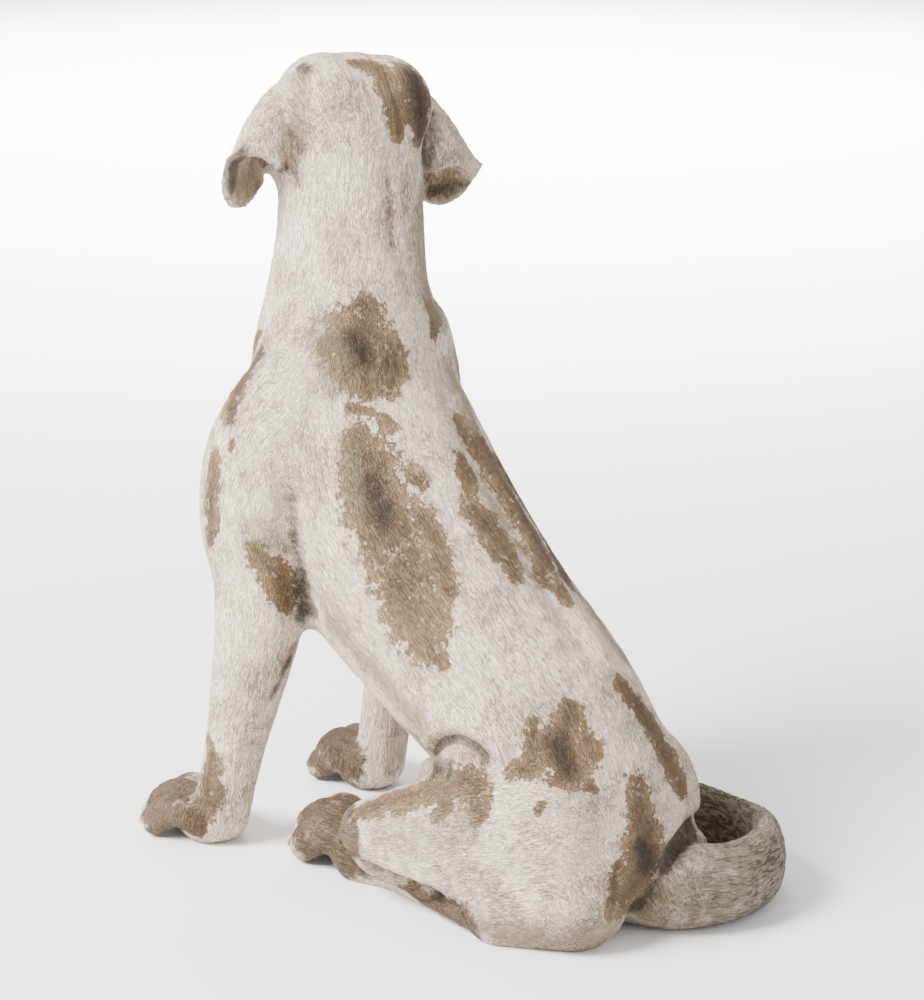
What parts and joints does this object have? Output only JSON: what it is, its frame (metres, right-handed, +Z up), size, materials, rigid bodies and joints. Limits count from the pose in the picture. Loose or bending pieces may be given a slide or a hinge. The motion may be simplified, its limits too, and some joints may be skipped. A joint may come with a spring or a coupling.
{
  "type": "sitting dog garden statue",
  "caption": "Life-size garden statue of a hound sitting up with its head held high, drop ears and a tail curled on the ground, cast hollow in one piece and limewashed.",
  "frame": {"origin": "the middle of the figure's footprint, on the ground it sits on", "axes": "+Z up; the dog faces -Y and its left side is towards +X"},
  "size_m": [0.4042, 0.622, 0.7801],
  "materials": {
    "dog": "chalky limewash worn through in ragged patches to a tan cast body of magnesia cement and fibre; matt, with incised fur"
  },
  "bodies": {
    "root": {"dog": "dog"}
  },
  "joints": []
}
